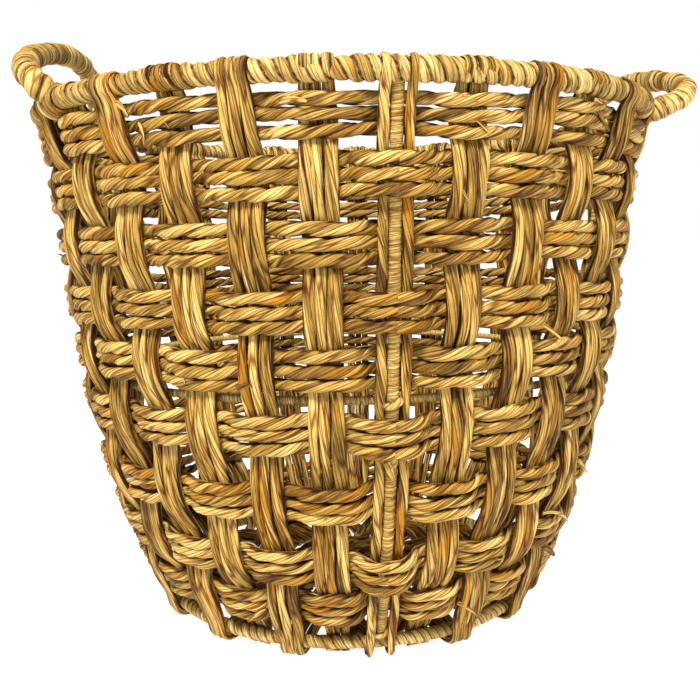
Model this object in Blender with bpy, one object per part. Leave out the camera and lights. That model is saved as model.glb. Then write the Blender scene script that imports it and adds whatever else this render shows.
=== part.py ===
"""Round seagrass storage basket: a steel wire frame wrapped in twisted leaf, with woven stakes and rows.

Metres, +Z up. The basket stands on z = 0 with its handles on the X axis and its front at -Y.
Stake number k stands at k / STAKES of a turn from the front, counted towards +X.
"""

import bpy
import numpy as np
from math import acos, atan2, ceil, cos, hypot, pi, radians, sin, tan

# Driving dimensions: the frame.
RIM_RADIUS = 0.218          # axis of the basket to the rim wire's centre
BASE_RADIUS = 0.142         # axis of the basket to the base ring wire's centre
WALL_DEPTH = 0.349          # rim wire's centre down to the base ring wire's centre
LIP = 0.006                 # how far the wall steps in just under the rim
LIP_DEPTH = 0.021           # depth over which it does so
TAPER = 0.028               # even narrowing of the wall; the rest of it turns in low down
MID_RING_AFTER = 5          # the middle ring is under this row

RIM_WIRE_R = 0.0025
RIM_WRAP_R = 0.0054
MID_WIRE_R = 0.0014
MID_WRAP_R = 0.0025
BASE_WIRE_R = 0.0020
BASE_WRAP_R = 0.00475
UPRIGHT_R = 0.00375
RING_SLIT = 0.0015          # where a ring's wrapping starts and ends

# Driving dimensions: the weave.
STAKES = 32
UPRIGHT_EVERY = 8           # every eighth stake has a frame upright in its middle
STAKE_WIDTH = 0.021
STAKE_THICK = 0.007
HOOK_THICK = 0.0026         # the stake's cords, flattened where they loop over the rim
FOOT_THICK = 0.005          # the same, where they pass under the base ring
CORD_WIDTH = 0.007          # one cord beside an upright
ROW_HEIGHT = 0.025
ROW_THICK = 0.0075
ROW_STEPS = (21.5, 31, 36, 38.5, 34, 37.5, 45, 41, 34.5, 30)   # shares of the wall, from rim to base ring
DOUBLE_SWING = 0.002        # how far a cord beside an upright moves in and out

# Driving dimensions: the base.
BASE_LIFT = 0.0100          # floor to the middle of the spokes
SPOKE_ROOM = 0.002          # from where neighbouring spokes would meet out to the spokes' inner ends
SPOKE_START_IN = 0.016      # base ring's centre in to where the spokes are level
BASE_ROW_RADII = (0.112, 0.083)
BASE_ROW_WIDTH = 0.021
BASE_ROW_THICK = 0.006
CENTRE_GAP = 0.003          # spokes' inner ends to the coiled middle
CENTRE_THICK = 0.009

# Driving dimensions: the handles.
HANDLE_WIRE_R = 0.0025
HANDLE_WRAP_R = 0.0085
LEFT_REACH, LEFT_LEAN, LEFT_TWIST = 0.053, radians(62), radians(-19)
RIGHT_REACH, RIGHT_LEAN, RIGHT_TWIST = 0.060, radians(35), radians(-16)
LEFT_FOOT_GAPS, RIGHT_FOOT_GAPS = 2.5, 1.5     # half of the handle's width, in stake spacings
LEFT_SKEW, RIGHT_SKEW = 0.45, 0.12             # how much further the back leg reaches
LEFT_POWER, RIGHT_POWER = 0.45, 0.70           # below 1 the legs start straighter
HANDLE_STEPS = 13

CLEAR = 0.0004              # between pieces that lie against each other
TUBE_SIDES = 6
HOOK_STEP = radians(45)     # the most that a stake turns at one corner round a ring
FOOT_END = radians(-65)     # where a stake's foot leaves the base ring

SPACING = 2 * pi / STAKES
TURN_IN = RIM_RADIUS - BASE_RADIUS - LIP - TAPER
HEX = cos(pi / TUBE_SIDES)
HOOK_IN = (RIM_WRAP_R + CLEAR) / cos(HOOK_STEP / 2)
FOOT_IN = (BASE_WRAP_R + CLEAR) / cos(HOOK_STEP / 2)
RING_Z = FOOT_IN + FOOT_THICK
RIM_Z = RING_Z + WALL_DEPTH
WEAVE = (ROW_THICK + STAKE_THICK) / 4 + CLEAR / 2      # each side of the wall's surface
UPRIGHT_WEAVE = UPRIGHT_R + CLEAR + ROW_THICK / 2      # the rows' swing at an upright
DOUBLE_IN = UPRIGHT_R + CLEAR                          # upright's centre to the cord beside it
DOUBLE_OUT = DOUBLE_IN + CORD_WIDTH
SPOKE_HALF = max(DOUBLE_OUT, STAKE_WIDTH / 2) + CLEAR
SPOKE_END = SPOKE_HALF / tan(SPACING) + SPOKE_ROOM
CENTRE_RADIUS = SPOKE_END - CENTRE_GAP


def material(name, colour, roughness, metallic=0.0):
    """A plain Principled material."""
    made = bpy.data.materials.new(name)
    made.use_nodes = True
    shader = made.node_tree.nodes["Principled BSDF"]
    shader.inputs["Base Color"].default_value = (*colour, 1.0)
    shader.inputs["Roughness"].default_value = roughness
    shader.inputs["Metallic"].default_value = metallic
    return made


def add_object(name, points, faces, finish):
    """One mesh object, under the basket's empty."""
    mesh = bpy.data.meshes.new(name)
    mesh.from_pydata([tuple(p) for p in points], [], faces)
    corners = np.array([p for p in points])
    volume = 0.0
    for face in faces:
        first = corners[face[0]]
        for a, b in zip(face[1:], face[2:]):
            volume += np.dot(first, np.cross(corners[a], corners[b]))
    if volume < 0:
        mesh.flip_normals()
    mesh.materials.append(finish)
    made = bpy.data.objects.new(name, mesh)
    bpy.context.scene.collection.objects.link(made)
    made.parent = BASKET
    return made


def plate(name, inner, outer, finish, closed=False, missing=()):
    """A sheet with thickness: inner and outer hold its points as [station][column].

    A closed sheet joins its last station to its first. missing lists the (station, column)
    cells that are left out.
    """
    inner, outer = np.array(inner, float), np.array(outer, float)
    stations, columns = inner.shape[:2]
    points = np.concatenate([inner.reshape(-1, 3), outer.reshape(-1, 3)])
    skin = stations * columns

    def at(s, c, side):
        return side * skin + (s % stations) * columns + c

    spans = stations if closed else stations - 1
    cells = {(s, c) for s in range(spans) for c in range(columns - 1)} - set(missing)
    faces = []
    for s, c in sorted(cells):
        faces.append((at(s, c, 1), at(s + 1, c, 1), at(s + 1, c + 1, 1), at(s, c + 1, 1)))
        faces.append((at(s, c, 0), at(s, c + 1, 0), at(s + 1, c + 1, 0), at(s + 1, c, 0)))
        before = (s - 1) % stations if closed else s - 1
        after = (s + 1) % stations if closed else s + 1
        if (before, c) not in cells:
            faces.append((at(s, c, 0), at(s, c, 1), at(s, c + 1, 1), at(s, c + 1, 0)))
        if (after, c) not in cells:
            faces.append((at(s + 1, c, 0), at(s + 1, c + 1, 0), at(s + 1, c + 1, 1), at(s + 1, c, 1)))
        if (s, c - 1) not in cells:
            faces.append((at(s, c, 0), at(s + 1, c, 0), at(s + 1, c, 1), at(s, c, 1)))
        if (s, c + 1) not in cells:
            faces.append((at(s, c + 1, 0), at(s, c + 1, 1), at(s + 1, c + 1, 1), at(s + 1, c + 1, 0)))
    used = sorted({i for face in faces for i in face})
    renumber = {old: new for new, old in enumerate(used)}
    return add_object(name, points[used], [tuple(renumber[i] for i in face) for face in faces], finish)


def circle_at(centre, side, up, radius):
    """The corners of a tube's section in the plane of side and up."""
    turns = [2 * pi * i / TUBE_SIDES for i in range(TUBE_SIDES)]
    return [centre + radius * (cos(a) * side + sin(a) * up) for a in turns]


def tube(name, path, radius, finish, closed=False):
    """A solid tube along path, a list of (centre, side, up)."""
    points, faces = [], []
    for centre, side, up in path:
        points.extend(circle_at(centre, side, up, radius))
    count = len(path)
    for s in range(count if closed else count - 1):
        a, b = s * TUBE_SIDES, ((s + 1) % count) * TUBE_SIDES
        for i in range(TUBE_SIDES):
            j = (i + 1) % TUBE_SIDES
            faces.append((a + i, a + j, b + j, b + i))
    if not closed:
        faces.append(tuple(reversed(range(TUBE_SIDES))))
        faces.append(tuple((count - 1) * TUBE_SIDES + i for i in range(TUBE_SIDES)))
    return add_object(name, points, faces, finish)


def sleeve(name, path, wire_radius, radius, finish):
    """The wrapping round a wire: an open-ended tube with a bore that clears the wire."""
    bore = (wire_radius + CLEAR) / HEX
    points, faces = [], []
    for size in (radius, bore):
        for centre, side, up in path:
            points.extend(circle_at(centre, side, up, size))
    count = len(path)
    skin = count * TUBE_SIDES
    last = (count - 1) * TUBE_SIDES
    for i in range(TUBE_SIDES):
        j = (i + 1) % TUBE_SIDES
        for s in range(count - 1):
            a, b = s * TUBE_SIDES, (s + 1) * TUBE_SIDES
            faces.append((a + i, a + j, b + j, b + i))
            faces.append((skin + a + i, skin + b + i, skin + b + j, skin + a + j))
        faces.append((i, skin + i, skin + j, j))
        faces.append((last + i, last + j, skin + last + j, skin + last + i))
    return add_object(name, points, faces, finish)


def outward(angle):
    return np.array((sin(angle), -cos(angle), 0.0))


def sideways(angle):
    return np.array((cos(angle), sin(angle), 0.0))


UP = np.array((0.0, 0.0, 1.0))


def place(angle, radius, z, across=0.0):
    """A point at a radius and height on the plane of a stake, moved sideways by across."""
    return radius * outward(angle) + across * sideways(angle) + z * UP


def wall_radius(z):
    """The wall's middle surface: it steps in under the rim, narrows evenly and turns in low down."""
    depth = RIM_Z - z
    down = depth / WALL_DEPTH
    lip = LIP * (1 - np.exp(-depth / LIP_DEPTH))
    return RIM_RADIUS - lip - TAPER * down - TURN_IN * down ** 4


def wall_edge(z, towards):
    """The point half a row's height from height z along the wall, up (+1) or down (-1)."""
    slope = (wall_radius(z + 0.001) - wall_radius(z - 0.001)) / 0.002
    rise = towards * ROW_HEIGHT / 2 / (1 + slope ** 2) ** 0.5
    return np.array((wall_radius(z + rise), z + rise))


def row_lines():
    """For each row, its top and bottom points (radius, z) on the wall and the wall's outward normal there."""
    lines = []
    down = 0.0
    for share in ROW_STEPS[:-1]:
        down += share
        z = RIM_Z - WALL_DEPTH * down / sum(ROW_STEPS)
        top, bottom = wall_edge(z, 1), wall_edge(z, -1)
        along = (top - bottom) / np.linalg.norm(top - bottom)
        lines.append((top, bottom, np.array((along[1], -along[0])), along))
    return lines


ROWS = row_lines()


def outside(stake, row):
    """+1 where the stake passes outside the row (rows count from 0 at the top), else -1."""
    return 1 if (stake + row) % 2 == 0 else -1


def has_upright(stake):
    return stake % UPRIGHT_EVERY == 0


def ring_path(radius, z, slit=0.0):
    """Sections of a ring whose flats face the stakes; with a slit it is open midway between two stakes."""
    corner = radius / cos(SPACING / 2)
    angles = [(i + 0.5) * SPACING for i in range(STAKES)]
    path = [(place(a, corner, z), outward(a), UP) for a in angles]
    if not slit:
        return path
    first, second = path[0][0], path[1][0]
    along = (second - first) / np.linalg.norm(second - first)
    back = path[-1][0] - first
    back = back / np.linalg.norm(back)
    start = (first + slit / 2 * along, path[0][1], UP)
    end = (first + slit / 2 * back, path[0][1], UP)
    return [start] + path[1:] + [end]


def make_rings():
    """The frame's three wire rings, each in its wrapping."""
    above, below = ROWS[MID_RING_AFTER - 1][1][1], ROWS[MID_RING_AFTER][0][1]
    mid_z = (above + below) / 2
    crossing = STAKE_THICK / 2 + MID_WRAP_R * 2 * WEAVE / ((above - below) / 2)
    mid_radius = wall_radius(mid_z) - crossing - MID_WRAP_R - CLEAR
    rings = (
        ("rim", RIM_RADIUS, RIM_Z, RIM_WIRE_R, RIM_WRAP_R),
        ("mid_ring", mid_radius, mid_z, MID_WIRE_R, MID_WRAP_R),
        ("base_ring", BASE_RADIUS, RING_Z, BASE_WIRE_R, BASE_WRAP_R),
    )
    for name, radius, z, wire, wrap in rings:
        tube(name + "_wire", ring_path(radius, z), wire, STEEL, closed=True)
        sleeve(name + "_wrap", ring_path(radius, z, RING_SLIT), wire, wrap, WRAPPING)


def make_uprights():
    """The four wrapped uprights between the rim and the base ring."""
    names = ("upright_front", "upright_right", "upright_back", "upright_left")
    top = RIM_Z - RIM_WRAP_R - CLEAR
    bottom = RING_Z + BASE_WRAP_R + CLEAR
    low_lean = BASE_WRAP_R / 2
    beside_rows = [point for row in ROWS for point in row[:2]]
    for number, name in enumerate(names):
        angle = number * UPRIGHT_EVERY * SPACING
        ends = [np.array((wall_radius(z), z)) for z in (top, bottom + low_lean)]
        spine = [ends[0], *beside_rows, ends[1]]
        path = []
        for s, (radius, z) in enumerate(spine):
            before, after = spine[max(s - 1, 0)], spine[min(s + 1, len(spine) - 1)]
            run = (before - after) / np.linalg.norm(before - after)
            path.append((place(angle, radius, z), run[1] * outward(angle) - run[0] * UP, sideways(angle)))
        tube(name, path, UPRIGHT_R, WRAPPING)


def row_profile(row, swing):
    """A row's section as (radius, z) points: inner and outer, each from top to bottom."""
    top, bottom, normal, _ = ROWS[row]
    inner = [point + (swing - ROW_THICK / 2) * normal for point in (top, bottom)]
    outer = [point + (swing + ROW_THICK / 2) * normal for point in (top, bottom)]
    return inner, outer


def make_rows():
    """Nine bands of weaver cord, each a closed hoop that goes over one stake and under the next."""
    for row in range(len(ROWS)):
        inner, outer = [], []
        for stake in range(STAKES):
            double = has_upright(stake)
            swing = -outside(stake, row) * (UPRIGHT_WEAVE if double else WEAVE)
            half = (DOUBLE_OUT if double else STAKE_WIDTH / 2) + CLEAR
            near, far = row_profile(row, swing)
            angle = stake * SPACING
            for across in (-half, half):
                inner.append([place(angle, radius, z, across) for radius, z in near])
                outer.append([place(angle, radius, z, across) for radius, z in far])
        plate(f"row_{row + 1}", inner, outer, WEAVER_CORD, closed=True)


def foot_turns(above, last):
    """The turns round the base ring of a stake's foot: from where its straight run down touches the ring.

    above is from the ring's centre to the end of that run, on its side towards the ring.
    """
    first = atan2(above[1], last * above[0]) - acos(FOOT_IN / hypot(*above))
    steps = ceil((first - FOOT_END) / HOOK_STEP)
    return [first + (FOOT_END - first) * i / steps for i in range(steps + 1)]


def stake_profile(stake):
    """A stake's side view from rim to base: pairs of inner and outer (radius, z) points.

    It loops over the rim, passes in and out of the rows, and ends at the base ring. An even stake
    is outside the last row, so it goes under the ring and on as a spoke of the base.
    """
    side = outside(stake, 0)
    rim = np.array((RIM_RADIUS, RIM_Z))
    profile = []
    for i in range(6, -1, -1):
        turn = radians(-60) + i * HOOK_STEP
        ray = np.array((side * cos(turn), sin(turn)))
        near, far = rim + HOOK_IN * ray, rim + (HOOK_IN + HOOK_THICK) * ray
        profile.append((near, far) if side > 0 else (far, near))
    for row, (top, bottom, normal, along) in enumerate(ROWS):
        swing = outside(stake, row) * (DOUBLE_SWING if has_upright(stake) else WEAVE)
        for point, beyond in ((top, CLEAR), (bottom, -CLEAR)):
            middle = point + beyond * along + swing * normal
            profile.append((middle - STAKE_THICK / 2 * normal, middle + STAKE_THICK / 2 * normal))
    ring = np.array((BASE_RADIUS, RING_Z))
    last = outside(stake, len(ROWS) - 1)
    for turn in foot_turns(profile[-1][0 if last > 0 else 1] - ring, last):
        ray = np.array((last * cos(turn), sin(turn)))
        near, far = ring + FOOT_IN * ray, ring + (FOOT_IN + FOOT_THICK) * ray
        profile.append((near, far) if last > 0 else (far, near))
    return profile, last


def spoke_profile():
    """The part of an even stake from under the base ring in to the middle of the base."""
    flat_out, flat_in = BASE_RADIUS + 0.0015, BASE_RADIUS - 0.006
    level = BASE_LIFT + FOOT_THICK / 2
    floor = BASE_LIFT - FOOT_THICK / 2
    return [
        ((flat_out, FOOT_THICK), (flat_out, 0.0)),
        ((flat_in, FOOT_THICK), (flat_in, 0.0)),
        ((BASE_RADIUS - SPOKE_START_IN, level), (BASE_RADIUS - SPOKE_START_IN, floor)),
        ((SPOKE_END, level), (SPOKE_END, floor)),
    ]


def make_stakes():
    """Thirty-two upright bands of cord. At an upright the band is two cords with the rod between them."""
    for stake in range(STAKES):
        angle = stake * SPACING
        profile, last = stake_profile(stake)
        if last > 0:
            profile += spoke_profile()
        if has_upright(stake):
            columns = (-DOUBLE_OUT, -DOUBLE_IN, DOUBLE_IN, DOUBLE_OUT)
            missing = [(s, 1) for s in range(6, len(profile) - 1)]
        else:
            columns = (-STAKE_WIDTH / 2, STAKE_WIDTH / 2)
            missing = []
        inner = [[place(angle, *near, across) for across in columns] for near, _ in profile]
        outer = [[place(angle, *far, across) for across in columns] for _, far in profile]
        plate(f"stake_{stake + 1:02d}", inner, outer, STAKE_CORD, missing=missing)


def make_base():
    """Two rounds of weaver on the spokes, and the coiled middle."""
    spokes = range(0, STAKES, 2)
    swing = FOOT_THICK / 2 + CLEAR + BASE_ROW_THICK / 2
    for number, radius in enumerate(BASE_ROW_RADII):
        inner, outer = [], []
        for order, stake in enumerate(spokes):
            half = (DOUBLE_OUT if has_upright(stake) else STAKE_WIDTH / 2) + CLEAR
            z = BASE_LIFT + (swing if (order + number) % 2 else -swing)
            reach = (radius - BASE_ROW_WIDTH / 2, radius + BASE_ROW_WIDTH / 2)
            for across in (-half, half):
                angle = stake * SPACING
                inner.append([place(angle, r, z - BASE_ROW_THICK / 2, across) for r in reach])
                outer.append([place(angle, r, z + BASE_ROW_THICK / 2, across) for r in reach])
        plate(f"base_row_{number + 1}", inner, outer, WEAVER_CORD, closed=True)
    turns = [2 * pi * i / STAKES for i in range(STAKES)]
    low, high = BASE_LIFT - CENTRE_THICK / 2, BASE_LIFT + CENTRE_THICK / 2
    points = [place(a, CENTRE_RADIUS, z) for z in (low, high) for a in turns]
    faces = [tuple(range(STAKES)), tuple(reversed(range(STAKES, 2 * STAKES)))]
    for i in range(STAKES):
        j = (i + 1) % STAKES
        faces.append((j, i, STAKES + i, STAKES + j))
    add_object("base_centre", points, faces, WEAVER_CORD)


def handle_path(middle, reach, lean, twist, foot_gaps, skew, power):
    """Sections of a handle from its front foot to its back foot; middle is +1 at +X and -1 at -X.

    The loop leans out from the rim by lean above level, and twist changes the lean from foot to foot.
    """
    angle = middle * pi / 2
    spread = foot_gaps * SPACING
    corner = RIM_RADIUS / cos(SPACING / 2)
    start = RIM_WRAP_R + CLEAR

    def away(t):
        slant = lean + twist * cos(pi * t)
        return cos(slant) * outward(angle - middle * spread * cos(pi * t)) + sin(slant) * UP

    spine = []
    for i in range(HANDLE_STEPS + 1):
        t = i / HANDLE_STEPS
        chord = place(angle, corner * cos(spread), RIM_Z, -middle * corner * sin(spread) * cos(pi * t))
        longer = 1 - skew * cos(pi * t)
        rise = reach * longer * sin(pi * t) ** power if 0 < i < HANDLE_STEPS else 0.0
        spine.append(chord + (start + rise) * away(t))
    path = []
    side = sideways(angle)
    for s, centre in enumerate(spine):
        ahead = spine[min(s + 1, HANDLE_STEPS)] - spine[max(s - 1, 0)]
        if s == 0:
            ahead = away(0)
        if s == HANDLE_STEPS:
            ahead = -away(1)
        ahead = ahead / np.linalg.norm(ahead)
        side = side - np.dot(side, ahead) * ahead
        side = side / np.linalg.norm(side)
        path.append((centre, side, np.cross(ahead, side)))
    return path


def make_handles():
    """Two rigid ear handles: a bent wire in a thick wrapping, its feet on the rim."""
    for name, middle, *shape in (
        ("handle_right", 1, RIGHT_REACH, RIGHT_LEAN, RIGHT_TWIST, RIGHT_FOOT_GAPS, RIGHT_SKEW, RIGHT_POWER),
        ("handle_left", -1, LEFT_REACH, LEFT_LEAN, LEFT_TWIST, LEFT_FOOT_GAPS, LEFT_SKEW, LEFT_POWER),
    ):
        path = handle_path(middle, *shape)
        tube(name + "_wire", path, HANDLE_WIRE_R, STEEL)
        sleeve(name + "_wrap", path, HANDLE_WIRE_R, HANDLE_WRAP_R, WRAPPING)


def centre_basket():
    """Moves the basket so that the middle of its box is over the origin."""
    bpy.context.view_layer.update()
    reach = [(made.matrix_world @ v.co).x for made in BASKET.children for v in made.data.vertices]
    BASKET.location.x = -(min(reach) + max(reach)) / 2
    bpy.context.view_layer.update()


for old in list(bpy.data.objects):
    bpy.data.objects.remove(old, do_unlink=True)
BASKET = bpy.data.objects.new("basket", None)
bpy.context.scene.collection.objects.link(BASKET)
STEEL = material("steel_wire", (0.36, 0.35, 0.34), 0.45, 1.0)
WRAPPING = material("leaf_wrap", (0.62, 0.46, 0.26), 0.72)
STAKE_CORD = material("stake_cord", (0.56, 0.39, 0.18), 0.75)
WEAVER_CORD = material("weaver_cord", (0.60, 0.43, 0.21), 0.75)
make_rings()
make_uprights()
make_rows()
make_stakes()
make_base()
make_handles()
centre_basket()
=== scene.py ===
"""The looks of a round seagrass storage basket: twisted leaf cord woven on a wrapped wire frame.

Metres, +Z up. Angles are measured round the basket from its front (-Y) towards +X.
"""

import bpy
import numpy as np
from mathutils import Euler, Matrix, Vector


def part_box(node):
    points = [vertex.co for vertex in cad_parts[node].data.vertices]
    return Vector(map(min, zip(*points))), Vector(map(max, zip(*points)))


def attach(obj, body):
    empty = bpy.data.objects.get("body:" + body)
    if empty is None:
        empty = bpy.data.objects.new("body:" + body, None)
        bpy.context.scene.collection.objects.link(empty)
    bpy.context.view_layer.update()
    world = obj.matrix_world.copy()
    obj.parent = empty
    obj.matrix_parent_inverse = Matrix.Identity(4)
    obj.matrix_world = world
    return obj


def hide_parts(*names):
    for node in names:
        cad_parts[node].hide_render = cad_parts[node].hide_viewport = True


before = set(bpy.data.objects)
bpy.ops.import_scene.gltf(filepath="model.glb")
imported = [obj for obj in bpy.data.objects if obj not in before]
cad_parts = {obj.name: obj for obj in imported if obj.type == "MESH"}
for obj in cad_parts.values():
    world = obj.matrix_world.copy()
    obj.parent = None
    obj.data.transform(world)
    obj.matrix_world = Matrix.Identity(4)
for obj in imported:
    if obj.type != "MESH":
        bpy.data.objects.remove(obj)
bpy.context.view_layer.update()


# The view and the studio. The camera stands a little left of the front, just below the rim's
# height. The basket is on a plain white floor that runs into a white band of sky, with a strong
# lamp above it on the left and a weak one on the right.
UP = np.array((0.0, 0.0, 1.0))
CAMERA_TURN = np.radians(-7.65)
CAMERA_AWAY, CAMERA_Z = 0.664, 0.272
LOOK_DOWN, LOOK_RIGHT, ROLL = np.radians(7.45), np.radians(0.25), np.radians(-0.78)
FOCAL_MM, SENSOR_MM = 43.2, 36
FLOOR_REACH = 40.0
FLOOR_GLOW = 0.88
BAND_TOP, FADE_END, OVERHEAD = 0.27, 0.45, 0.1    # sines of the height angle, and a strength


def ring_measures(node):
    """A wire ring's centre x, its centreline's radius and its height, from its box."""
    low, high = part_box(node)
    wire = (high.z - low.z) / 2
    return (low.x + high.x) / 2, (high.x - low.x) / 2 - wire, (low.z + high.z) / 2


AXIS_X, RIM_RADIUS, RIM_Z = ring_measures("rim_wire")


def outward(angle):
    """The level direction away from the axis: (sin a, -cos a, 0)."""
    return np.stack([np.sin(angle), -np.cos(angle), 0 * angle], -1)


def sideways(angle):
    """The level direction of growing angle: (cos a, sin a, 0)."""
    return np.stack([np.cos(angle), np.sin(angle), 0 * angle], -1)


def place(angle, radius, z):
    """The points at an angle, a distance from the axis and a height."""
    angle, radius, z = np.broadcast_arrays(np.asarray(angle, float), radius, z)
    centre = np.array((AXIS_X, 0.0, 0.0))
    return centre + radius[..., None] * outward(angle) + z[..., None] * UP


def make_camera():
    """The camera: turned about the vertical, tipped down, then rolled about its own axis."""
    data = bpy.data.cameras.new("camera")
    data.lens = FOCAL_MM
    data.sensor_width = SENSOR_MM
    data.clip_start = 0.01
    camera = bpy.data.objects.new("camera", data)
    bpy.context.scene.collection.objects.link(camera)
    camera.location = place(CAMERA_TURN, CAMERA_AWAY, CAMERA_Z)
    heading = Euler((np.pi / 2 - LOOK_DOWN, 0.0, CAMERA_TURN - LOOK_RIGHT), "XYZ").to_matrix()
    camera.rotation_euler = (heading @ Euler((0.0, 0.0, ROLL), "XYZ").to_matrix()).to_euler()
    bpy.context.scene.camera = camera


def area_light(name, spot, size, power, colour):
    """A soft square light at spot, facing the middle of the basket."""
    data = bpy.data.lights.new(name, "AREA")
    data.size, data.energy, data.color = size, power, colour
    light = bpy.data.objects.new(name, data)
    bpy.context.scene.collection.objects.link(light)
    light.location = spot
    light.rotation_euler = (Vector((0, 0, 0.2)) - Vector(spot)).to_track_quat("-Z", "Y").to_euler()


def make_floor():
    """A wide white floor that glows, like a lit sweep."""
    reach = FLOOR_REACH
    corners = [(-reach, -reach, 0), (reach, -reach, 0), (reach, reach, 0), (-reach, reach, 0)]
    mesh = bpy.data.meshes.new("floor")
    mesh.from_pydata(corners, [], [(0, 1, 2, 3)])
    floor = bpy.data.objects.new("floor", mesh)
    bpy.context.scene.collection.objects.link(floor)
    finish = bpy.data.materials.new("pale_floor")
    finish.use_nodes = True
    shader = finish.node_tree.nodes["Principled BSDF"]
    shader.inputs["Base Color"].default_value = (0.60, 0.60, 0.59, 1)
    shader.inputs["Roughness"].default_value = 0.85
    shader.inputs["Emission Color"].default_value = (1, 1, 1, 1)
    shader.inputs["Emission Strength"].default_value = FLOOR_GLOW
    mesh.materials.append(finish)


def make_sky():
    """A white band of light all round, fading to a tenth of that overhead."""
    world = bpy.data.worlds.new("studio")
    world.use_nodes = True
    bpy.context.scene.world = world
    nodes, links = world.node_tree.nodes, world.node_tree.links
    split = nodes.new("ShaderNodeSeparateXYZ")
    links.new(nodes.new("ShaderNodeTexCoord").outputs["Generated"], split.inputs["Vector"])
    fade = nodes.new("ShaderNodeMapRange")
    fade.interpolation_type = "SMOOTHSTEP"
    links.new(split.outputs["Z"], fade.inputs["Value"])
    fade.inputs["From Min"].default_value = BAND_TOP
    fade.inputs["From Max"].default_value = FADE_END
    fade.inputs["To Min"].default_value = 1.0
    fade.inputs["To Max"].default_value = OVERHEAD
    background = nodes["Background"]
    background.inputs["Color"].default_value = (1.0, 1.0, 1.0, 1)
    links.new(fade.outputs["Result"], background.inputs["Strength"])


make_camera()
make_floor()
make_sky()
area_light("key_light", (-0.45, -1.2, 1.6), 0.42, 58, (1.0, 0.98, 0.93))
area_light("side_light", (1.3, -0.7, 0.9), 0.6, 8, (1.0, 0.98, 0.95))
bpy.context.scene.view_settings.view_transform = "Standard"


# Weaver rows: nine bands, each of three cords side by side. A cord is two plies of dried seagrass
# leaf twisted together to the left. Each band goes over one stake and under the next, and a few
# leaf ends stick out of it.
RANDOM = np.random.default_rng(20)
STAKES = sum(name.startswith("stake_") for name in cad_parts)
ROWS = sum(name.startswith("row_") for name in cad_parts)
SPACING = 2 * np.pi / STAKES
UPRIGHTS = ("upright_front", "upright_right", "upright_back", "upright_left")
UPRIGHT_EVERY = STAKES // len(UPRIGHTS)
CORD_WIDE, CORD_THICK, CORD_APART = 0.0082, 0.0076, 0.0084
BAND_CORDS = 3
ROW_PITCH = 0.047               # length over which a cord makes one turn
ROW_STEP = 0.0025
WEAVE, UPRIGHT_WEAVE = 0.0036, 0.0076   # how far a row swings in and out, and the same at an upright
BAND_ROLL, CORD_SAG = 0.0013, 0.0009    # how far a whole band wanders up and down, and each cord in it
DIPPED_ROW, DIP = 7, 0.0065     # the eighth row sags at the front
PLY_SPOTS = np.array((0, 0.045, 0.13, 0.23, 0.34, 0.45, 0.55, 0.66, 0.77, 0.87, 0.955))
PLY_COLUMNS = len(PLY_SPOTS)
GROOVE, FOLD_DEPTH = 0.36, 0.17         # shares of a cord's radius
LOOSE_ENDS = 4
LEAF_SUNK, LEAF_LIFT = 0.0022, 0.0018   # how far a leaf end starts under the cords' skin, and lifts

# Leaf ends that stick out of the weave: row, stake number and height where it starts, heading in
# degrees above level, length, width, how far its tip stands out, tone.
LEAF_ENDS = (
    (7, 3.35, 0.093, -9, 0.044, 0.0034, 0.004, 1.20),
    (6, 4.40, 0.121, -35, 0.013, 0.0050, 0.006, 0.90),
    (1, -3.80, 0.351, -20, 0.014, 0.0048, 0.007, 0.92),
    (1, -4.35, 0.349, 15, 0.012, 0.0044, 0.008, 0.85),
    (1, -3.45, 0.339, -60, 0.012, 0.0040, 0.006, 0.88),
    (1, -1.45, 0.345, 12, 0.015, 0.0042, 0.006, 0.85),
    (1, 3.10, 0.347, -50, 0.013, 0.0050, 0.006, 0.90),
    (1, 0.95, 0.338, -40, 0.012, 0.0030, 0.006, 0.80),
    (2, 0.85, 0.300, -60, 0.010, 0.0018, 0.005, 0.95),
    (3, -0.25, 0.279, -75, 0.010, 0.0020, 0.004, 1.00),
    (3, -0.15, 0.283, -100, 0.009, 0.0014, 0.006, 1.00),
    (8, 4.05, 0.060, -20, 0.014, 0.0060, 0.007, 0.60),
    (5, -2.30, 0.190, 25, 0.013, 0.0040, 0.006, 0.85),
    (4, 2.40, 0.222, -30, 0.014, 0.0036, 0.006, 0.80),
    (9, 1.60, 0.040, -25, 0.016, 0.0040, 0.007, 0.80),
    (9, -2.40, 0.041, 200, 0.013, 0.0044, 0.006, 0.75),
    (8, -0.15, 0.078, -80, 0.009, 0.0060, 0.006, 0.85),
    (6, -0.10, 0.146, -70, 0.009, 0.0062, 0.007, 0.90))


def points_of(node):
    """A CAD node's points, as rows of x, y, z."""
    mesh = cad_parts[node].data
    flat = np.empty(len(mesh.vertices) * 3, np.float32)
    mesh.vertices.foreach_get("co", flat)
    return flat.reshape(-1, 3).astype(float)


def middle_height(node):
    """The height of the middle of a CAD node's box."""
    low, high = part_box(node)
    return (low.z + high.z) / 2


upright_points = np.concatenate([points_of(name) for name in UPRIGHTS])
wall = np.polynomial.Polynomial.fit(
    upright_points[:, 2], np.hypot(upright_points[:, 0] - AXIS_X, upright_points[:, 1]), 6)
ROW_Z = [middle_height(f"row_{row + 1}") for row in range(ROWS)]


def wall_frame(z):
    """The wall at a height: its radius, and its unit upward and outward directions as (radius, z)."""
    slope = wall.deriv()(z)
    along = np.array((slope, 1.0)) / np.hypot(slope, 1.0)
    return float(wall(z)), along, np.array((along[1], -along[0]))


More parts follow.
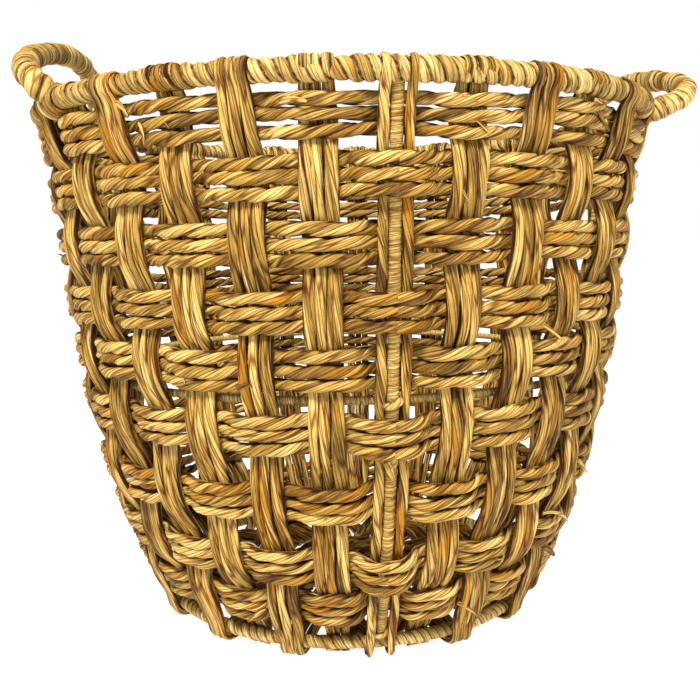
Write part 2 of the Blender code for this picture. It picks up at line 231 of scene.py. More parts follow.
def wander(x, step, period=None):
    """Smooth random values from -1 to 1 at x: random marks a step apart, joined by half cosines.

    With a period the marks repeat after it.
    """
    count = 4001 if period is None else max(3, round(period / step))
    step = step if period is None else period / count
    marks = RANDOM.uniform(-1, 1, count)
    first = np.floor(x / step)
    blend = 0.5 - 0.5 * np.cos(np.pi * (x / step - first))
    index = first.astype(int) % count
    return marks[index] * (1 - blend) + marks[(index + 1) % count] * blend


def unit(v):
    """The same directions, each of length one."""
    return v / np.linalg.norm(v, axis=-1, keepdims=True)


def run_along(spine, closed):
    """The length from the first point to each point, and the whole length."""
    following = np.roll(spine, -1, 0)
    steps = np.linalg.norm(following - spine, axis=1)
    total = steps.sum() if closed else steps[:-1].sum()
    return np.concatenate([[0.0], np.cumsum(steps)[:-1]]), total


def section_frame(spine, face, closed):
    """At each point of a path, face made square to the path and of length one, and path x face."""
    ahead = np.roll(spine, -1, 0) - np.roll(spine, 1, 0) if closed else np.gradient(spine, axis=0)
    ahead = unit(ahead)
    face = unit(face - (face * ahead).sum(-1, keepdims=True) * ahead)
    return face, np.cross(ahead, face)


def cord_skin(spine, face, wide, thick, pitch, closed=False, tone=0.5, warmth=0.3, wobble=0.0004,
              groove=GROOVE, folds=2, folded=0.0):
    """The skin of a two-ply cord along a path, as points, UV, painted leaf values and closed.

    Column f of a ply runs from groove (0) to groove (1). The radius there is
    1 - groove (1 - sin(pi f))^2.2, less a fold on some columns and a little noise. A fold's depth
    wanders along the ply about folded. The whole section turns by -2 pi s / pitch, so that the
    columns follow the plies. The lengths given to wander are metres along the cord. The third leaf
    value is painted shade: in the groove between the plies and in the folds, and where the cord
    turns its sides to its neighbours, with a little on its back.
    """
    run, total = run_along(spine, closed)
    period = total if closed else None
    stations = len(spine)
    face, side = section_frame(spine, face, closed)
    spine = spine + side * (wobble * wander(run, 0.03, period))[:, None]
    f = np.tile(PLY_SPOTS, 2)
    psi = np.pi / 2 + np.pi * (np.repeat([0, 1], PLY_COLUMNS) + f)
    turns = round(total / pitch) if closed else total / pitch
    spin = -2 * np.pi * turns * run / total + RANDOM.uniform(0, 2 * np.pi)
    spin = spin + 0.7 * wander(run, 0.05, period)
    turned = psi[None, :] + spin[:, None]
    valley = (1 - np.sin(np.pi * f)) ** 2.2
    radius = np.repeat(1 - groove * valley[None, :], stations, 0)
    # Painted shade in the groove between the plies.
    crease_shade = np.repeat(0.9 * valley[None, :], stations, 0)
    tones = np.empty_like(radius)
    warm = np.empty_like(radius)
    for ply in (0, 1):
        columns = slice(ply * PLY_COLUMNS, (ply + 1) * PLY_COLUMNS)
        tones[:, columns] = (tone + 0.24 * wander(run, 0.07, period))[:, None]
        warm[:, columns] = (warmth + 0.40 * wander(run, 0.10, period))[:, None]
        crease_shade[:, columns] *= (0.72 + 0.28 * wander(run, 0.02, period))[:, None]
        swell = 1 + 0.09 * wander(run, 0.025, period)
        radius[:, columns] *= swell[:, None]
        for fold in RANDOM.choice(np.arange(2, PLY_COLUMNS - 1), folds, replace=False):
            depth = np.clip(folded + wander(run, 0.03, period), 0, 1)
            column = ply * PLY_COLUMNS + fold
            radius[:, column] -= FOLD_DEPTH * depth
            # Painted shade in the fold.
            crease_shade[:, column] += 0.75 * depth
            beyond = slice(column, columns.stop)
            tones[:, beyond] += 0.30 / folds * (depth * RANDOM.choice((-1, 1)))[:, None]
            warm[:, beyond] += 0.60 / folds * (depth * RANDOM.choice((-1, 1)))[:, None]
    # Painted shade where the cord turns its sides to the cords beside it, and a little on its back.
    side_shade, back = np.clip(1 - np.abs(np.cos(turned)) * 1.8, 0, 1), np.cos(turned) < -0.3
    crease_shade += 0.9 * side_shade + 0.25 * back
    for ripples in (3, 5):
        radius += 0.03 * np.cos(ripples * psi[None, :] + 3 * wander(run, 0.02, period)[:, None])
    size = 1 + 0.07 * wander(run, 0.05, period)
    wide, thick = np.broadcast_to(wide, stations) * size, np.broadcast_to(thick, stations) * size
    points = (spine[:, None]
              + face[:, None] * (thick[:, None] / 2 * radius * np.cos(turned))[..., None]
              + side[:, None] * (wide[:, None] / 2 * radius * np.sin(turned))[..., None])
    along = np.append(run, total) if closed else run
    across = np.append(psi - np.pi / 2, 2 * np.pi) * wide.mean() / 2
    start = RANDOM.uniform(0, 9)
    uv = np.stack(np.broadcast_arrays(along[:, None] + start, across[None, :] + start), -1)
    leaf = np.stack([tones, warm, np.clip(crease_shade, 0, 1)], -1)
    return points, uv, leaf, closed


def add_piece(name, skins, finish, nodes):
    """Joins skins into one closed mesh that rides on the basket and stands for the CAD nodes.

    A skin is a grid of points, stations by columns, closed round its columns; an open skin gets a
    fan of triangles at each end. A face's corners are station, next column, next station.
    """
    points, quads, fans, quad_uv, fan_uv, leaves = [], [], [], [], [], []
    base = 0
    for grid, uv, leaf, closed in skins:
        n, m = grid.shape[:2]
        i = np.arange(n if closed else n - 1)[:, None]
        j = np.arange(m)[None, :]
        k, l = (i + 1) % n, (j + 1) % m
        quads.append(base + np.stack(np.broadcast_arrays(
            i * m + j, i * m + l, k * m + l, k * m + j), -1).reshape(-1, 4))
        corner = [uv[i, j], uv[i, j + 1], uv[i + 1, j + 1], uv[i + 1, j]]
        quad_uv.append(np.stack(corner, 2).reshape(-1, 2))
        points.append(grid.reshape(-1, 3))
        leaves.append(leaf.reshape(-1, 3))
        ring = np.arange(m)
        base += n * m
        if not closed:
            for which, end in enumerate((0, n - 1)):
                here = base - (n - end) * m + ring
                beside = base - (n - end) * m + (ring + 1) % m
                pair = (here, beside) if which else (beside, here)
                fans.append(np.stack([np.full(m, base + which), *pair], -1))
                fan_uv.append(np.tile(uv[end, 0], (3 * m, 1)))
            points.append(np.stack([grid[0].mean(0), grid[-1].mean(0)]))
            leaves.append(np.stack([leaf[0].mean(0), leaf[-1].mean(0)]) * (1.0, 1.0, 0.0))
            base += 2
    points = np.concatenate(points)
    quads = np.concatenate(quads)
    fans = np.concatenate(fans) if fans else np.empty((0, 3), int)
    corner_uv = np.concatenate(quad_uv + fan_uv)
    mesh = bpy.data.meshes.new(name)
    mesh.vertices.add(len(points))
    mesh.vertices.foreach_set("co", points.astype(np.float32).ravel())
    corners = np.concatenate([quads.ravel(), fans.ravel()]).astype(np.int32)
    mesh.loops.add(len(corners))
    mesh.loops.foreach_set("vertex_index", corners)
    mesh.polygons.add(len(quads) + len(fans))
    starts = np.concatenate([4 * np.arange(len(quads)), 4 * len(quads) + 3 * np.arange(len(fans))])
    mesh.polygons.foreach_set("loop_start", starts.astype(np.int32))
    mesh.update(calc_edges=True)
    mesh.uv_layers.new(name="UVMap").data.foreach_set("uv", corner_uv.astype(np.float32).ravel())
    colours = np.column_stack([np.concatenate(leaves), np.ones(len(points))]).astype(np.float32)
    mesh.attributes.new("leaf", "FLOAT_COLOR", "POINT").data.foreach_set("color", colours.ravel())
    mesh.polygons.foreach_set("use_smooth", np.ones(len(mesh.polygons), bool))
    mesh.materials.append(finish)
    mesh.validate()
    piece = bpy.data.objects.new(name, mesh)
    bpy.context.scene.collection.objects.link(piece)
    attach(piece, "root")
    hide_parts(*nodes)


PALE, TAN, BROWN = (0.77, 0.535, 0.170), (0.42, 0.240, 0.040), (0.095, 0.040, 0.004)
GOLD = (0.54, 0.23, 0.010)
SPECK = (0.05, 0.025, 0.01)
# Painted shade: the colours that darken the fibres' hollows, the strip seams and the creases.
HOLLOW_SHADE, SEAM_SHADE, CREASE_SHADE = (0.34, 0.22, 0.09), (0.30, 0.17, 0.05), (0.10, 0.045, 0.008)


def leaf_finish(name, pale, middle, deep, roughness, strip_share=0.42, seam_shade=SEAM_SHADE):
    """Dried leaf, read from the UV map in metres: along the leaf, and across it.

    Long thin cells are its folded strips: each has its own tone, and a line of painted shade runs
    round it where it meets the next. Streaks of three widths colour and roughen it, blotches and
    specks age it, and the painted attribute gives each ply its tone and warmth. Shade is painted
    into the hollows of the middle streaks, and into the creases between plies and the folds that the
    attribute marks. Pattern scales are repeats per metre. The colours of the painted shade in the
    hollows, on the strip seams and in the creases multiply the colour under them.
    """
    finish = bpy.data.materials.new(name)
    finish.use_nodes = True
    nodes, links = finish.node_tree.nodes, finish.node_tree.links
    shader = nodes["Principled BSDF"]

    def node(kind, **settings):
        """A new node with these settings."""
        made = nodes.new("ShaderNode" + kind)
        for key, value in settings.items():
            setattr(made, key, value)
        return made

    def noise(source, along, across, detail, rough=0.55):
        """Noise from 0 to 1 with this many repeats per metre along and across the leaf."""
        spread = node("Mapping")
        spread.inputs["Scale"].default_value = (along, across, along)
        links.new(source, spread.inputs["Vector"])
        made = node("TexNoise")
        made.inputs["Scale"].default_value = 1.0
        made.inputs["Detail"].default_value = detail
        made.inputs["Roughness"].default_value = rough
        links.new(spread.outputs["Vector"], made.inputs["Vector"])
        return made.outputs["Fac"]

    def strip_cells(feature, output):
        """One output of the long thin cells, about 40 mm by 2.5 mm."""
        spread = node("Mapping")
        spread.inputs["Scale"].default_value = (26, 400, 26)
        links.new(uv, spread.inputs["Vector"])
        made = node("TexVoronoi", voronoi_dimensions="2D", feature=feature)
        made.inputs["Scale"].default_value = 1.0
        links.new(spread.outputs["Vector"], made.inputs["Vector"])
        return made.outputs[output]

    def sum_of(first, second, share):
        """first + share * (second - 0.5)"""
        made = node("Math", operation="MULTIPLY_ADD")
        links.new(second, made.inputs[0])
        made.inputs[1].default_value = share
        moved = node("Math", operation="SUBTRACT")
        links.new(first, moved.inputs[0])
        moved.inputs[1].default_value = share * 0.5
        links.new(moved.outputs[0], made.inputs[2])
        return made.outputs[0]

    def mixed(factor, first, second, blend="MIX"):
        """The first colour with the second laid on it by factor; the second may be a plain colour."""
        made = node("Mix", data_type="RGBA", blend_type=blend)
        links.new(factor, made.inputs[0])
        links.new(first, made.inputs[6])
        if isinstance(second, tuple):
            made.inputs[7].default_value = (*second, 1)
        else:
            links.new(second, made.inputs[7])
        return made.outputs[2]

    def eased(value, low, high):
        """0 at low to 1 at high, along a smooth step."""
        made = node("MapRange", interpolation_type="SMOOTHSTEP")
        links.new(value, made.inputs["Value"])
        made.inputs["From Min"].default_value = low
        made.inputs["From Max"].default_value = high
        return made.outputs["Result"]

    def ramp(value, *marks):
        """A colour ramp from its first mark to its last, each a position and a colour."""
        made = node("ValToRGB")
        stops = made.color_ramp.elements
        for stop, (position, colour) in zip(stops, (marks[0], marks[-1])):
            stop.position, stop.color = position, (*colour, 1)
        for position, colour in marks[1:-1]:
            stops.new(position).color = (*colour, 1)
        links.new(value, made.inputs["Fac"])
        return made.outputs["Color"]

    uv = node("UVMap").outputs["UV"]
    painted = node("SeparateColor")
    links.new(node("Attribute", attribute_name="leaf").outputs["Color"], painted.inputs["Color"])
    tone, warmth, crease_shade = painted.outputs["Red"], painted.outputs["Green"], painted.outputs["Blue"]
    strips = noise(uv, 14, 330, 2)
    fibres = noise(uv, 45, 1250, 4, 0.7)
    hairs = noise(uv, 140, 3200, 2, 0.7)
    blotches = noise(node("TexCoord").outputs["Object"], 45, 45, 3)
    strip = node("SeparateColor")
    links.new(strip_cells("F1", "Color"), strip.inputs["Color"])
    from_edge = strip_cells("DISTANCE_TO_EDGE", "Distance")

    shade = sum_of(sum_of(tone, strip.outputs["Red"], strip_share), strips, 0.45)
    shade = sum_of(sum_of(sum_of(shade, fibres, 1.0), blotches, 0.5), hairs, 0.75)
    plain = ramp(shade, (0.12, deep), (0.48, middle), (0.86, pale))
    golden = ramp(shade, (0.1, tuple(0.38 * c for c in GOLD)), (0.85, GOLD))
    gilding = sum_of(sum_of(warmth, strip.outputs["Green"], 0.5), blotches, 0.9)
    colour = mixed(eased(gilding, 0.38, 0.85), plain, golden)
    specks = node("TexVoronoi")
    specks.inputs["Scale"].default_value = 420
    links.new(node("TexCoord").outputs["Object"], specks.inputs["Vector"])
    dots = node("MapRange")
    links.new(specks.outputs["Distance"], dots.inputs["Value"])
    dots.inputs["From Min"].default_value = 0.09
    dots.inputs["From Max"].default_value = 0.05
    dots.inputs["To Max"].default_value = 0.55
    colour = mixed(dots.outputs["Result"], colour, SPECK)
    # Painted shade in the hollows of the fibres.
    hollow_shade = node("Math", operation="MULTIPLY")
    links.new(eased(fibres, 0.45, 0.30), hollow_shade.inputs[0])
    hollow_shade.inputs[1].default_value = 0.75
    colour = mixed(hollow_shade.outputs[0], colour, HOLLOW_SHADE, "MULTIPLY")
    # Painted shade along the seams between the strips.
    colour = mixed(eased(from_edge, 0.16, 0.0), colour, seam_shade, "MULTIPLY")
    # Painted shade in the creases and folds, from the attribute's third value.
    colour = mixed(eased(sum_of(crease_shade, fibres, 0.8), 0.32, 0.95), colour, CREASE_SHADE, "MULTIPLY")
    links.new(colour, shader.inputs["Base Color"])

    gloss = node("MapRange")
    links.new(fibres, gloss.inputs["Value"])
    gloss.inputs["To Min"].default_value = roughness + 0.14
    gloss.inputs["To Max"].default_value = roughness - 0.12
    links.new(gloss.outputs["Result"], shader.inputs["Roughness"])
    shader.inputs["Specular IOR Level"].default_value = 0.16

    height = sum_of(sum_of(strips, fibres, 0.8), hairs, 0.45)
    bump = node("Bump")
    bump.inputs["Strength"].default_value = 0.75
    bump.inputs["Distance"].default_value = 0.0011
    links.new(sum_of(height, eased(from_edge, 0.0, 0.25), 0.35), bump.inputs["Height"])
    links.new(bump.outputs["Normal"], shader.inputs["Normal"])
    return finish


def outside(stake, row):
    """+1 where the stake passes outside the row, -1 where it passes inside."""
    return 1 if (stake + row) % 2 == 0 else -1


def flat_wave(turn):
    """A cosine with flattened tops: tanh(2 cos(turn)) / tanh(2)."""
    return np.tanh(2.0 * np.cos(turn)) / np.tanh(2.0)


def row_swing(angle, row):
    """How far a row stands out from the wall: a flat wave over the stakes, higher at the uprights."""
    t = angle / SPACING
    from_upright = (t + UPRIGHT_EVERY / 2) % UPRIGHT_EVERY - UPRIGHT_EVERY / 2
    near = np.exp(-(from_upright / 0.55) ** 4)
    return -outside(0, row) * flat_wave(np.pi * t) * (WEAVE + (UPRIGHT_WEAVE - WEAVE) * near)


def leaf_end(stake, z, heading, length, wide, stand_out, tone):
    """A strip of leaf on the outside of the wall, drooping a little and lifting off to its tip."""
    u = np.linspace(0, 1, max(6, round(length / 0.0012)))
    turn = np.radians(heading)
    radius, _, normal = wall_frame(z)
    low = z + length * (u * np.sin(turn) - 0.25 * u ** 2 * np.cos(turn) ** 2)
    angle = stake * SPACING + length * u * np.cos(turn) / radius
    out = WEAVE + CORD_THICK / 2 - LEAF_SUNK + (0.6 * stand_out + LEAF_LIFT) * u ** 1.5
    spine = place(angle, wall(low) + out * normal[0], low + out * normal[1])
    face = normal[0] * outward(angle) + normal[1] * UP
    width = 0.75 * wide * (1 - 0.5 * u ** 3)
    thick = 0.0008 + 0.2 * wide * (1 - u)
    return cord_skin(spine, face, width, thick, pitch=0.09, tone=0.62 * tone, warmth=0.15,
                     wobble=0.0, groove=0.15)


def loose_ends(row):
    """A few short leaf ends at random places on a row, where it lies outside the stakes."""
    found = []
    for _ in range(LOOSE_ENDS):
        stake = 2 * RANDOM.integers(STAKES // 2) + (row + 1) % 2
        z = ROW_Z[row] + RANDOM.uniform(-0.010, 0.010)
        stake = stake + RANDOM.uniform(-0.35, 0.3)
        heading = RANDOM.choice((0, 180)) + RANDOM.uniform(-40, 40)
        length, wide = RANDOM.uniform(0.004, 0.010), RANDOM.uniform(0.0012, 0.0026)
        stand_out, tone = RANDOM.uniform(0.000, 0.003), RANDOM.uniform(0.7, 1.1)
        found.append(leaf_end(stake, z, heading, length, wide, stand_out, tone))
    return found


weaver_leaf = leaf_finish("weaver_leaf", PALE, TAN, BROWN, 0.58)

for row in range(ROWS):
    radius, along, normal = wall_frame(ROW_Z[row])
    count = round(2 * np.pi * radius / ROW_STEP)
    angle = 2 * np.pi * np.arange(count) / count
    swing = row_swing(angle, row)
    roll = BAND_ROLL * wander(angle, 0.5, 2 * np.pi)
    if row == DIPPED_ROW:
        from_front = (angle + np.pi) % (2 * np.pi) - np.pi
        roll = roll - DIP * np.exp(-(from_front / (0.75 * SPACING)) ** 2)
    face = normal[0] * outward(angle) + normal[1] * UP
    skins = []
    for cord in range(BAND_CORDS):
        shift = (1 - cord) * CORD_APART + roll
        sag = CORD_SAG * wander(angle, 0.25, 2 * np.pi)
        r = radius + (shift + sag) * along[0] + swing * normal[0]
        z = ROW_Z[row] + (shift + sag) * along[1] + swing * normal[1]
        pitch = ROW_PITCH * RANDOM.uniform(0.8, 1.25)
        tone, warmth = 0.55 + RANDOM.uniform(-0.08, 0.08), 0.22 + RANDOM.uniform(-0.1, 0.15)
        skins.append(cord_skin(place(angle, r, z), face, CORD_WIDE, CORD_THICK, pitch, True,
                               tone, warmth, folds=3, folded=0.1))
    skins += [leaf_end(*which[1:]) for which in LEAF_ENDS if which[0] == row + 1]
    skins += loose_ends(row)
    add_piece(f"row_{row + 1}_cords", skins, weaver_leaf, [f"row_{row + 1}"])


# Stakes: thirty-two upright bands of three cords, looped over the rim and passed in and out of the
# rows. Every second one goes on under the base ring as a spoke; the others end there. Beside an
# upright the band is one tighter cord on each side of the rod.
_, BASE_RADIUS, RING_Z = ring_measures("base_ring_wire")
STAKE_CORD, STAKE_THICK = 0.0072, 0.0068
OVERLAP = 1.04                  # a cord's width over its share of the band
STAKE_PITCH, DOUBLE_PITCH = 0.15, 0.08
STAKE_STEP = 0.0033
BAND_HALF = 0.0125              # half of a row's height
HOOK_OUT, HOOK_THICK = 0.0068, 0.0032
FOOT_OUT, FOOT_THICK = 0.0081, 0.0048
RIM_PINCH, FOOT_PINCH = 0.14, 0.34      # how much narrower a band is under the rim and at its foot
RIM_PINCH_AT, RIM_PINCH_REACH, FOOT_PINCH_REACH = 0.02, 0.022, 0.014
DOUBLE_AT, DOUBLE_WIDE = 0.0072, 0.0066
DOUBLE_SWING = 0.0020
BASE_LIFT, SPOKE_END, SPOKE_START_IN = 0.0100, 0.059, 0.016
UNDER_RING = ((0.002, 0.0028), (0.008, 0.0032))     # in from the base ring, and height


def smooth_path(marks, step):
    """Points a step apart on the uniform cubic B-spline of the marks, with its ends repeated."""
    marks = np.concatenate([marks[:1], marks[:1], marks, marks[-1:], marks[-1:]])
    t = np.linspace(0, 1, 12, endpoint=False)[:, None]
    weights = (((1 - t) ** 3) / 6, (3 * t ** 3 - 6 * t ** 2 + 4) / 6,
               (-3 * t ** 3 + 3 * t ** 2 + 3 * t + 1) / 6, t ** 3 / 6)
    spans = [sum(w * marks[i + k] for k, w in enumerate(weights)) for i in range(len(marks) - 3)]
    dense = np.concatenate(spans + [marks[-1:]])
    run, total = run_along(dense, False)
    keep = np.linspace(0, total, max(4, round(total / step) + 1))
    return np.stack([np.interp(keep, run, dense[:, c]) for c in range(dense.shape[1])], -1)


def stake_marks(stake, double):
    """A stake's side view from the rim down: rows of radius, z and thickness.

    It starts tucked into the rim's binding, loops over the rim, goes by the rows, and ends round
    the base ring or runs on as a spoke.
    """
    marks = []
    side = outside(stake, 0)
    for degrees in range(240, -61, -30):
        turn = np.radians(degrees)
        out = HOOK_OUT * (0.6 if degrees > 200 else 1.0)
        marks.append((RIM_RADIUS + out * side * np.cos(turn), RIM_Z + out * np.sin(turn), HOOK_THICK))
    for row in range(ROWS):
        radius, along, normal = wall_frame(ROW_Z[row])
        swing = outside(stake, row) * (DOUBLE_SWING if double else WEAVE * 1.08)
        for shift in (BAND_HALF, -BAND_HALF):
            r, z = (radius, ROW_Z[row]) + shift * along + swing * normal
            marks.append((r, z, STAKE_THICK))
    last = outside(stake, ROWS - 1)
    for turn in np.radians((20, -25, -65)):
        r, z = BASE_RADIUS + FOOT_OUT * last * np.cos(turn), RING_Z + FOOT_OUT * np.sin(turn)
        marks.append((r, z, FOOT_THICK))
    if last > 0:
        marks += [(BASE_RADIUS - inward, z, FOOT_THICK) for inward, z in UNDER_RING]
        marks.append((BASE_RADIUS - SPOKE_START_IN, BASE_LIFT, FOOT_THICK))
        marks.append((SPOKE_END, BASE_LIFT, FOOT_THICK))
    return np.array(marks)


stake_leaf = leaf_finish("stake_leaf", PALE, TAN, BROWN, 0.60)

for stake in range(STAKES):
    double = stake % UPRIGHT_EVERY == 0
    path = smooth_path(stake_marks(stake, double), STAKE_STEP)
    angle = stake * SPACING
    ahead = unit(np.gradient(path[:, :2], axis=0))
    face = -ahead[:, 1:] * outward(angle) + ahead[:, :1] * UP
    run = run_along(path[:, :2], False)[0]
    from_ring = np.hypot(path[:, 0] - BASE_RADIUS, path[:, 1] - RING_Z)
    pinch = 1 - RIM_PINCH * np.exp(-((run - RIM_PINCH_AT) / RIM_PINCH_REACH) ** 2)
    pinch = pinch - FOOT_PINCH * np.exp(-(from_ring / FOOT_PINCH_REACH) ** 2)
    if double:
        offsets = np.outer((-DOUBLE_AT, DOUBLE_AT), np.ones(len(path)))
        widths = np.full(2, DOUBLE_WIDE)
    else:
        shares = RANDOM.uniform(0.8, 1.25, BAND_CORDS)
        widths = shares / shares.sum() * BAND_CORDS * STAKE_CORD
        offsets = np.outer(np.cumsum(widths) - widths / 2 - widths.sum() / 2, pinch)
        widths = widths * OVERLAP
    skins = []
    for wide, across in zip(widths, offsets):
        spine = place(angle, path[:, 0], path[:, 1]) + across[:, None] * sideways(angle)
        pitch = (DOUBLE_PITCH if double else STAKE_PITCH) * RANDOM.uniform(0.7, 1.4)
        tone, warmth = 0.55 + RANDOM.uniform(-0.09, 0.09), 0.22 + RANDOM.choice((-0.1, 0.0, 0.3))
        skins.append(cord_skin(spine, face, wide * pinch, path[:, 2], pitch, False,
                               tone, warmth, 0.0003, groove=0.22, folds=4, folded=0.35))
    name = f"stake_{stake + 1:02d}"
    add_piece(name + "_cords", skins, stake_leaf, [name])


# The frame's bindings: split leaf wound tightly round the rim, the two lower rings and the
# uprights, each turn lying beside the last. A cord is knotted round each upright in two places.
_, MID_RADIUS, MID_Z = ring_measures("mid_ring_wire")
WRAP_COLUMNS = 20
RIM_BINDING, MID_BINDING = 0.0068, 0.0026
PROUD = 1.07                    # a winding's radius over that of the CAD's faceted wrapping
UPRIGHT_R = 0.0037
KNOT_THICK, KNOT_TILT = 0.0036, 0.35


def wrap_radius(node):
    """A winding's radius: half of the height of the ring wrapping's box, times PROUD."""
    low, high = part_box(node)
    return (high.z - low.z) / 2 * PROUD


RIM_WRAP, BASE_WRAP = wrap_radius("rim_wrap"), wrap_radius("base_ring_wrap")
# The bindings' leaf, with a lighter painted shade along its strip seams.
wrap_leaf = leaf_finish("wrap_leaf", (0.77, 0.56, 0.20), (0.46, 0.280, 0.065), (0.11, 0.050, 0.007),
                        0.56, strip_share=0.20, seam_shade=(0.40, 0.27, 0.12))


def wrap_skin(spine, face, radius, band, starts, bulge, closed=False, tone=0.55, warmth=0.25,
              fold=0.05, vary=1.0):
    """A binding wound round a path in a helix, right-handed where starts is below 0.

    With u = s / band + starts * phi / 2 pi, a turn lies between whole numbers of u, and the radius
    is 1 - bulge (1 - |sin(pi u)|^0.6), with small folds along each turn. vary scales how much the
    turns differ in colour and size. The lengths given to wander are metres along a turn.
    """
    run, total = run_along(spine, closed)
    period = total if closed else None
    face, side = section_frame(spine, face, closed)
    band = total / round(total / band) if closed else band
    stretched = run + 0.35 * vary * band * wander(run, 3.1 * band, period)
    phi = 2 * np.pi * np.arange(WRAP_COLUMNS + 1) / WRAP_COLUMNS + np.pi
    along = np.append(stretched, total + stretched[0]) if closed else stretched
    u = along[:, None] / band + starts * phi[None, :] / (2 * np.pi)
    length = np.mean(radius) * (phi[None, :] - 2 * np.pi * np.floor(u) / starts)
    part = u - np.floor(u)
    height = np.sin(np.pi * part) ** 0.6
    folds = np.abs(np.sin(np.pi * (part * 3 + 0.7 * wander(length, 0.02)))) ** 0.5
    swell = 1 + 0.11 * vary * wander(length, 0.03)
    grow = (1 - bulge * (1 - height)) * swell - fold * (1 - folds)
    # Painted shade between the turns and in the folds along them.
    crease_shade = np.clip((1 - height) * min(1, 8 * bulge) + 6 * fold * (1 - folds), 0, 1)
    tones = tone + 0.30 * vary * wander(length, 0.035)
    warm = warmth + 0.50 * vary * wander(length, 0.05)
    n = len(spine)
    around = phi[None, :-1]
    reach = np.broadcast_to(radius, n)[:, None] * grow[:n, :-1]
    points = (spine[:, None] + face[:, None] * (reach * np.cos(around))[..., None]
              + side[:, None] * (reach * np.sin(around))[..., None])
    uv = np.stack([length, part * band + np.floor(u) * 0.37], -1)
    leaf = np.stack([tones, warm, crease_shade], -1)[:n, :-1]
    return points, uv, leaf, closed


def knot(angle, z, radius, thick):
    """A short round of cord tied about an upright, a little tilted."""
    turn = 2 * np.pi * np.arange(36) / 36
    r, _, normal = wall_frame(z)
    level = normal[0] * outward(angle) + normal[1] * UP
    spine = (place(angle, r, z) + radius * np.cos(turn)[:, None] * level
             + radius * np.sin(turn)[:, None] * (sideways(angle) + KNOT_TILT * UP))
    return cord_skin(spine, spine - spine.mean(0), thick * 1.3, thick, pitch=0.02, closed=True,
                     tone=0.75, warmth=0.3, wobble=0.0, groove=0.25)


# Each ring: name, radius and height, its winding's radius, band, starts, bulge, tone, fold, vary.
for name, radius, z, wrap, band, starts, bulge, tone, fold, vary in (
        ("rim", RIM_RADIUS, RIM_Z, RIM_BINDING, 0.0076, -2, 0.24, 0.60, 0.05, 1.0),
        ("mid_ring", MID_RADIUS, MID_Z, MID_BINDING, 0.0028, -1, 0.05, 0.80, 0.0, 0.15),
        ("base_ring", BASE_RADIUS, RING_Z, BASE_WRAP, 0.0058, -2, 0.12, 0.72, 0.02, 0.5)):
    count = round(2 * np.pi * radius / (band / 6))
    angle = 2 * np.pi * np.arange(count) / count
    skin = wrap_skin(place(angle, radius, z), outward(angle), wrap, band, starts, bulge, True,
                     tone, 0.2, fold, vary)
    add_piece(f"{name}_binding", [skin], wrap_leaf, [f"{name}_wrap"])

for number, name in enumerate(UPRIGHTS):
    angle = number * UPRIGHT_EVERY * SPACING
    z = np.arange(RIM_Z - RIM_WRAP, RING_Z + BASE_WRAP, -0.0006)
    face = np.repeat(outward(angle)[None], len(z), 0)
    skins = [wrap_skin(place(angle, wall(z), z), face, UPRIGHT_R, 0.0030, -1, 0.03, False,
                       0.54, 0.15, fold=0.0, vary=0.35)]
    for height in (RING_Z + BASE_WRAP + 0.006, MID_Z):
        skins.append(knot(angle, height, UPRIGHT_R + 0.001, KNOT_THICK))
    add_piece(name + "_binding", skins, wrap_leaf, [name])


# Handles: two rigid ears of bent wire, thickly wound, their feet lashed to the rim. The left one
# stands up, wide and taller at its back leg; the right one is narrower and leans out.
HANDLE_WRAP = 0.0080
FOOT_SWELL, FOOT_LENGTH = 0.06, 0.010   # how much thicker the winding is at a foot, and how far up
LASH_REACH, LASH_ENDS, LASH_SWELL = 0.27, 0.0066, 0.0034
# Each ear: name, side, half of its width in stake gaps, reach, lean, twist, skew, power.
EARS = (("handle_right", 1, 1.5, 0.060, np.radians(35), np.radians(-16), 0.12, 0.70),
        ("handle_left", -1, 2.5, 0.053, np.radians(62), np.radians(-19), 0.45, 0.45))


def ear_spine(middle, foot_gaps, reach, lean, twist, skew, power):
    """A handle's centreline from its front foot to its back foot.

    A point at t stands on the chord between the feet, carried out by
    reach (1 - skew cos(pi t)) sin(pi t)^power in a direction that leans up by
    lean + twist cos(pi t).
    """
    t = 0.5 - 0.5 * np.cos(np.pi * np.linspace(0, 1, 26))
    swing = np.cos(np.pi * t)
    angle = middle * np.pi / 2
    spread = foot_gaps * SPACING
    corner = RIM_RADIUS / np.cos(SPACING / 2)
    chord = place(np.full_like(t, angle), corner * np.cos(spread), RIM_Z)
    chord = chord - (middle * corner * np.sin(spread) * swing)[:, None] * sideways(angle)
    slant = lean + twist * swing
    level = outward(angle - middle * spread * swing)
    away = np.cos(slant)[:, None] * level + np.sin(slant)[:, None] * UP
    rise = RIM_WRAP * 0.6 + reach * (1 - skew * swing) * np.sin(np.pi * t) ** power
    return smooth_path(chord + rise[:, None] * away, 0.0009)


def lashing(angle):
    """The thick turns that bind a foot to the rim: a spindle round the rim, thickest at the foot."""
    u = np.linspace(-1, 1, 60)
    spread = angle + LASH_REACH * SPACING * u
    return wrap_skin(place(spread, RIM_RADIUS, RIM_Z + 0 * u), outward(spread),
                     LASH_ENDS + LASH_SWELL * (1 - u ** 4), 0.0042, -1, 0.12, tone=0.6)


for name, middle, foot_gaps, *shape in EARS:
    spine = ear_spine(middle, foot_gaps, *shape)
    run, total = run_along(spine, False)
    foot = np.exp(-run / FOOT_LENGTH) + np.exp(-(total - run) / FOOT_LENGTH)
    face = np.repeat((outward(middle * np.pi / 2) * 0.4 - UP)[None], len(spine), 0)
    radius = HANDLE_WRAP * (1 + FOOT_SWELL * foot)
    skins = [wrap_skin(spine, face, radius, 0.0056, -2, 0.12, False, 0.62, 0.2)]
    for side in (-1, 1):
        skins.append(lashing(middle * np.pi / 2 + side * foot_gaps * SPACING))
    add_piece(name + "_binding", skins, wrap_leaf, [name + "_wrap"])


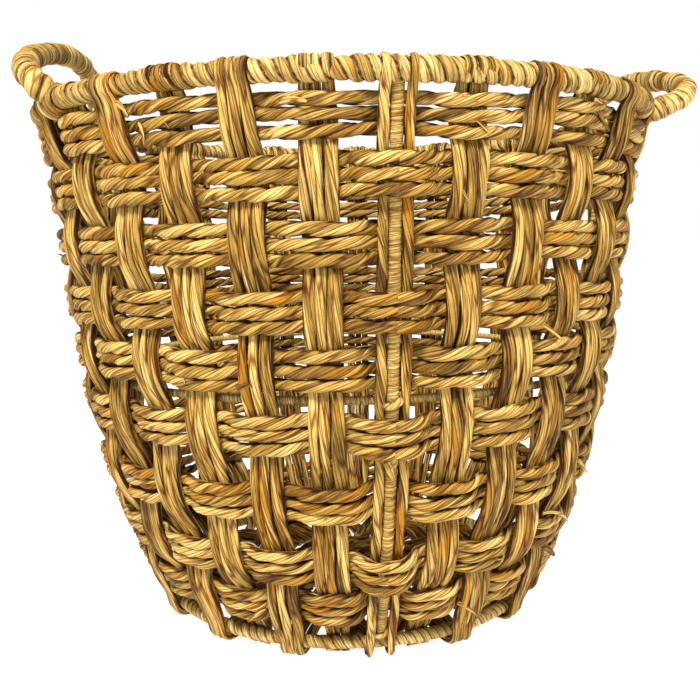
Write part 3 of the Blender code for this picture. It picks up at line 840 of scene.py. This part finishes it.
# The base: two rounds of three cords woven on the spokes, and a coil of cord in the middle. They
# are darker than the wall's cords.
BASE_RADII = (0.112, 0.083)
BASE_SWING = 0.0057
BASE_CORD_WIDE, BASE_CORD_THICK = 0.0070, 0.0060
BASE_TONE, BASE_WARMTH = 0.42, 0.3
COIL_WIDE, COIL_THICK, COIL_OUT = 0.0078, 0.0085, 0.0530

for number, middle_radius in enumerate(BASE_RADII):
    count = round(2 * np.pi * middle_radius / ROW_STEP)
    angle = 2 * np.pi * np.arange(count) / count
    z = BASE_LIFT - (-1) ** number * BASE_SWING * flat_wave(np.pi * angle / SPACING / 2)
    skins = []
    for cord in range(BAND_CORDS):
        radius = middle_radius + (cord - 1) * BASE_CORD_WIDE
        pitch = ROW_PITCH * RANDOM.uniform(0.85, 1.15)
        skins.append(cord_skin(place(angle, radius, z), np.tile(-UP, (count, 1)), BASE_CORD_WIDE,
                               BASE_CORD_THICK, pitch, True, BASE_TONE, BASE_WARMTH))
    name = f"base_row_{number + 1}"
    add_piece(name + "_cords", skins, weaver_leaf, [name])

# The coil's angle and radius both grow as the root of the length along it, from near the middle.
turns = (COIL_OUT - COIL_WIDE / 2) / COIL_WIDE
sweep = np.linspace(0.06, 1, 620) ** 0.5
angle = 2 * np.pi * turns * sweep
radius = COIL_WIDE / 2 + COIL_WIDE * turns * sweep
coil = cord_skin(place(angle, radius, BASE_LIFT), np.tile(-UP, (len(angle), 1)), COIL_WIDE,
                 COIL_THICK, ROW_PITCH, False, BASE_TONE, BASE_WARMTH)
add_piece("base_coil", [coil], weaver_leaf, ["base_centre"])


# The wires inside the bindings are the CAD's own: galvanised steel, bent and welded into the rings
# and the handles.
def steel_finish():
    """Galvanised wire: grey metal with a fine mottled zinc bloom."""
    finish = bpy.data.materials.new("galvanised_steel")
    finish.use_nodes = True
    nodes, links = finish.node_tree.nodes, finish.node_tree.links
    shader = nodes["Principled BSDF"]
    bloom = nodes.new("ShaderNodeTexNoise")
    bloom.inputs["Scale"].default_value = 900
    links.new(nodes.new("ShaderNodeTexCoord").outputs["Object"], bloom.inputs["Vector"])
    ramp = nodes.new("ShaderNodeValToRGB")
    ramp.color_ramp.elements[0].color = (0.22, 0.22, 0.22, 1)
    ramp.color_ramp.elements[1].color = (0.48, 0.48, 0.47, 1)
    links.new(bloom.outputs["Fac"], ramp.inputs["Fac"])
    links.new(ramp.outputs["Color"], shader.inputs["Base Color"])
    shader.inputs["Metallic"].default_value = 1.0
    shader.inputs["Roughness"].default_value = 0.42
    return finish


steel = steel_finish()
for name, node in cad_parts.items():
    if name.endswith("_wire"):
        node.data.materials.clear()
        node.data.materials.append(steel)
